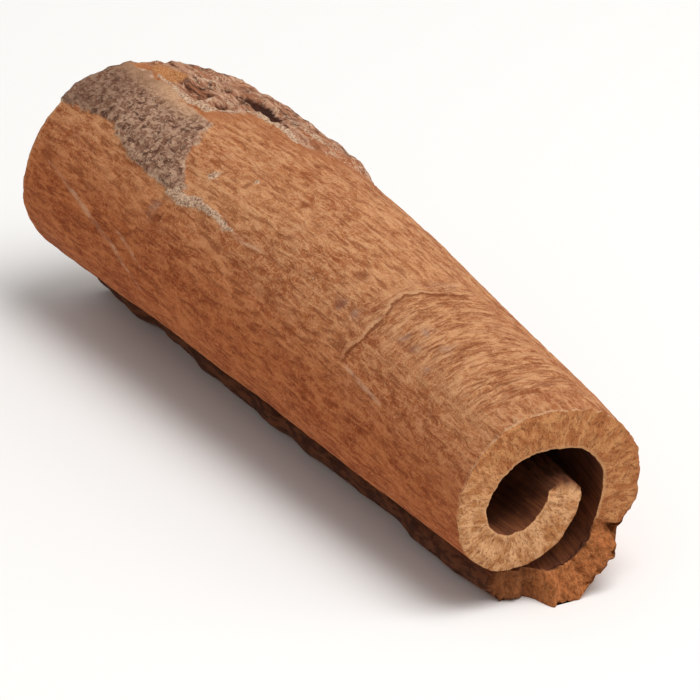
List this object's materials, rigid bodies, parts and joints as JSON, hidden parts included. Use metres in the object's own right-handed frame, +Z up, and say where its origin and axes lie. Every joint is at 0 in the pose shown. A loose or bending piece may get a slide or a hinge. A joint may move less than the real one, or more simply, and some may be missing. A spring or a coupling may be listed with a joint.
{
  "type": "cinnamon stick",
  "caption": "Cut length of dried cassia bark, curled into a tapering scroll with an inner lip in its bore and a torn outer edge.",
  "frame": {"origin": "middle of the stick's bounding box, on the plane it rests on", "axes": "+Y along the stick towards its wide end, +Z up from the flat run of bark it rests on, +X towards the plain side away from the outer edge"},
  "size_m": [0.026, 0.0782, 0.0214],
  "materials": {
    "quill": "matte dried bark"
  },
  "bodies": {
    "root": {"quill": "quill"}
  },
  "joints": []
}
